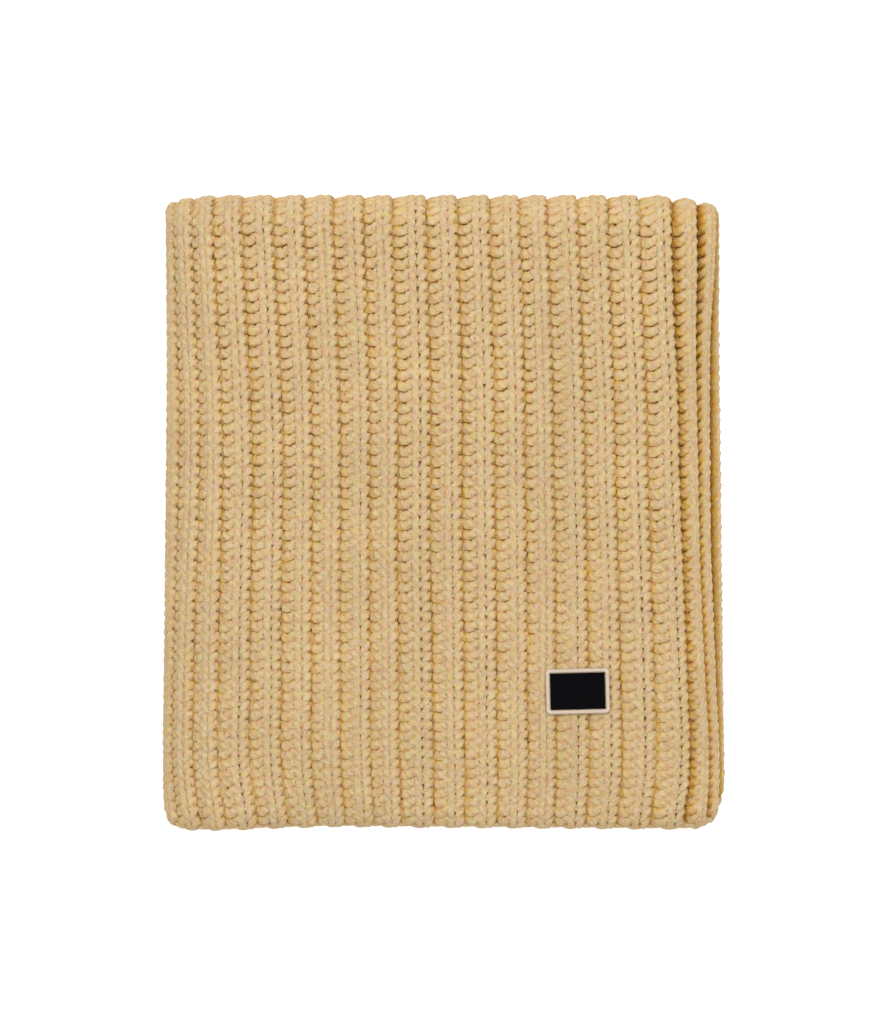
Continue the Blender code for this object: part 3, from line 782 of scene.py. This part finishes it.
def tonesGroup():
    # A dyed colour that drifts a little from place to place: wide patches, and single stitches
    group, given, result = newGroup("tones", (
        ("Color", "INPUT", "NodeSocketColor", (0.8, 0.6, 0.35, 1)),
        ("Wide", "INPUT", "NodeSocketFloat", 22.0),
        ("Close", "INPUT", "NodeSocketFloat", 260.0),
        ("Grain", "INPUT", "NodeSocketFloat", 1100.0),
        ("Spread", "INPUT", "NodeSocketFloat", 0.1),
        ("Color", "OUTPUT", "NodeSocketColor", None),
    ))
    coords = group.nodes.new("ShaderNodeTexCoord")
    shifts = []
    for size in ("Wide", "Close", "Grain"):
        noise = group.nodes.new("ShaderNodeTexNoise")
        noise.inputs["Detail"].default_value = 4.0
        group.links.new(coords.outputs["Object"], noise.inputs["Vector"])
        group.links.new(given.outputs[size], noise.inputs["Scale"])
        shifts.append((noise.outputs[0], noise.outputs[1]))
    drift = addMath(group, "ADD", addMath(group, "MULTIPLY", shifts[0][0], 0.8), shifts[1][0])
    drift = addMath(group, "ADD", drift, shifts[2][0])
    drift = addMath(group, "MULTIPLY", addMath(group, "SUBTRACT", drift, 1.4), given.outputs["Spread"])
    hueNoise = group.nodes.new("ShaderNodeSeparateColor")
    group.links.new(shifts[1][1], hueNoise.inputs[0])
    hueDrift = addMath(group, "MULTIPLY", addMath(group, "SUBTRACT", hueNoise.outputs[1], 0.5), 0.10)
    richDrift = addMath(group, "MULTIPLY", addMath(group, "SUBTRACT", hueNoise.outputs[2], 0.5), 0.7)
    shift = group.nodes.new("ShaderNodeHueSaturation")
    group.links.new(addMath(group, "ADD", hueDrift, 0.5), shift.inputs["Hue"])
    group.links.new(addMath(group, "ADD", richDrift, 1.0), shift.inputs["Saturation"])
    group.links.new(addMath(group, "ADD", drift, 1.0), shift.inputs["Value"])
    group.links.new(given.outputs["Color"], shift.inputs["Color"])
    group.links.new(shift.outputs[0], result.inputs["Color"])
    return group


groups = dict(plyTwist=plyTwistGroup(), fibre=fibreGroup(), tones=tonesGroup())


def addGroup(tree, name, **values):
    node = tree.nodes.new("ShaderNodeGroup")
    node.node_tree = groups[name]
    for socket, value in values.items():
        node.inputs[socket].default_value = value
    return node


def newMaterial(name, color, roughness, specular=0.15):
    made = bpy.data.materials.new(name)
    made.use_nodes = True
    shader = made.node_tree.nodes["Principled BSDF"]
    shader.inputs["Base Color"].default_value = color
    shader.inputs["Roughness"].default_value = roughness
    shader.inputs["Specular IOR Level"].default_value = specular
    return made, made.node_tree, shader


def addBump(tree, shader, height, distance):
    bump = tree.nodes.new("ShaderNodeBump")
    bump.inputs["Distance"].default_value = distance
    bump.inputs["Strength"].default_value = 1.0
    tree.links.new(height, bump.inputs["Height"])
    tree.links.new(bump.outputs[0], shader.inputs["Normal"])


def yarnMaterial(name, depthShades, spread, turns, depth):
    # depthShades: height above the creases in mm, and the colour from there up, as painted shade
    made, tree, shader = newMaterial(name, depthShades[-1][1], 0.95, 0.08)
    # The height that the painted shade goes by
    level = tree.nodes.new("ShaderNodeAttribute")
    level.attribute_name = "level"
    rise = tree.nodes.new("ShaderNodeMapRange")
    rise.inputs["From Min"].default_value = depthShades[0][0]
    rise.inputs["From Max"].default_value = depthShades[-1][0]
    tree.links.new(level.outputs["Fac"], rise.inputs["Value"])
    ramp = tree.nodes.new("ShaderNodeValToRGB")
    while len(ramp.color_ramp.elements) < len(depthShades):
        ramp.color_ramp.elements.new(0.5)
    for stop, (height, color) in zip(ramp.color_ramp.elements, depthShades):
        stop.position = (height - depthShades[0][0]) / (depthShades[-1][0] - depthShades[0][0])
        stop.color = color
    tree.links.new(rise.outputs[0], ramp.inputs["Fac"])
    tones = addGroup(tree, "tones", Spread=spread)
    tree.links.new(ramp.outputs["Color"], tones.inputs["Color"])
    tree.links.new(tones.outputs[0], shader.inputs["Base Color"])
    plies = addGroup(tree, "plyTwist", Turns=turns)
    fibres = addGroup(tree, "fibre")
    twist = addMath(tree, "MULTIPLY", plies.outputs[0], 0.6)
    height = addMath(tree, "ADD", twist, addMath(tree, "MULTIPLY", fibres.outputs[0], 1.8))
    addBump(tree, shader, height, depth)
    return made


# Painted shade: the wool's colour by height over the creases, dark orange deep in them and light on the
# tops
woolDepthShades = (
    (-6.0, (0.26, 0.11, 0.018, 1)), (-3.6, (0.40, 0.19, 0.035, 1)), (-1.2, (0.58, 0.32, 0.075, 1)),
    (0.4, (0.69, 0.44, 0.14, 1)), (1.6, (0.775, 0.55, 0.275, 1)), (2.6, (0.785, 0.57, 0.31, 1)),
)
wool = yarnMaterial("wool", woolDepthShades, 0.3, 90.0, 0.0006)
knitPieces = [
    *topPieces, *underPieces, columnCords, innerFoldKnit, outerSelvedge, innerSelvedge, labelledEnd,
    innerEnd,
]
for piece in knitPieces:
    finish(piece, wool)
# Painted shade: the backing's dark orange stands for the shadow seen through the gaps between stitches
backingShade = newMaterial("woolBackingShade", (0.40, 0.21, 0.05, 1), 0.95, 0.0)[0]
for piece in (outerBacking, innerBacking):
    finish(piece, backingShade)
black = newMaterial("labelBlack", (0.004, 0.004, 0.005, 1), 0.9, 0.03)[0]
finish(fieldPiece, black)
cream = newMaterial("labelCream", (0.83, 0.69, 0.55, 1), 0.75)[0]
finish(edgePiece, cream)
finish(threadPiece, cream)

print("materials placed")

studio = dict(
    floorColor=0.35, floorGlow=0.85, sky=0.49,
    key=dict(place=(-0.05, 0.9, 1.8), size=1.3, power=16.6),
    fill=dict(place=(0.6, -0.4, 2.6), size=2.2, power=12),
)


def makeFloor():
    mesh = bpy.data.meshes.new("floor")
    mesh.from_pydata([(-4, -4, 0), (4, -4, 0), (4, 4, 0), (-4, 4, 0)], [], [(0, 1, 2, 3)])
    floor = bpy.data.objects.new("floor", mesh)
    bpy.context.scene.collection.objects.link(floor)
    grey = studio["floorColor"]
    made, tree, shader = newMaterial("floor", (grey, grey, grey, 1), 0.9, 0.0)
    shader.inputs["Emission Color"].default_value = (1, 1, 1, 1)
    shader.inputs["Emission Strength"].default_value = studio["floorGlow"]
    mesh.materials.append(made)


def makeLight(name, place, size, power):
    data = bpy.data.lights.new(name, "AREA")
    data.shape = "DISK"
    data.size = size
    data.energy = power
    lamp = bpy.data.objects.new(name, data)
    lamp.location = place
    lamp.rotation_mode = "QUATERNION"
    lamp.rotation_quaternion = Vector(place).to_track_quat("Z", "Y")
    bpy.context.scene.collection.objects.link(lamp)


def makeSky():
    world = bpy.data.worlds.new("studio")
    world.use_nodes = True
    world.node_tree.nodes["Background"].inputs["Color"].default_value = (1, 1, 1, 1)
    world.node_tree.nodes["Background"].inputs["Strength"].default_value = studio["sky"]
    bpy.context.scene.world = world


photo = dict(height=1024, metresPerPixel=0.0005385, distance=3.0, place=(-0.0002, 0.0))


def makeCamera():
    data = bpy.data.cameras.new("camera")
    camera = bpy.data.objects.new("camera", data)
    bpy.context.scene.collection.objects.link(camera)
    data.sensor_width = 36
    data.lens = 36 * photo["distance"] / (photo["height"] * photo["metresPerPixel"])
    data.clip_end = 50
    camera.location = (*photo["place"], stack["crown"] + photo["distance"])
    bpy.context.scene.camera = camera


makeFloor()
makeLight("keyLight", **studio["key"])
makeLight("fillLight", **studio["fill"])
makeSky()
makeCamera()
bpy.context.scene.view_settings.view_transform = "Standard"
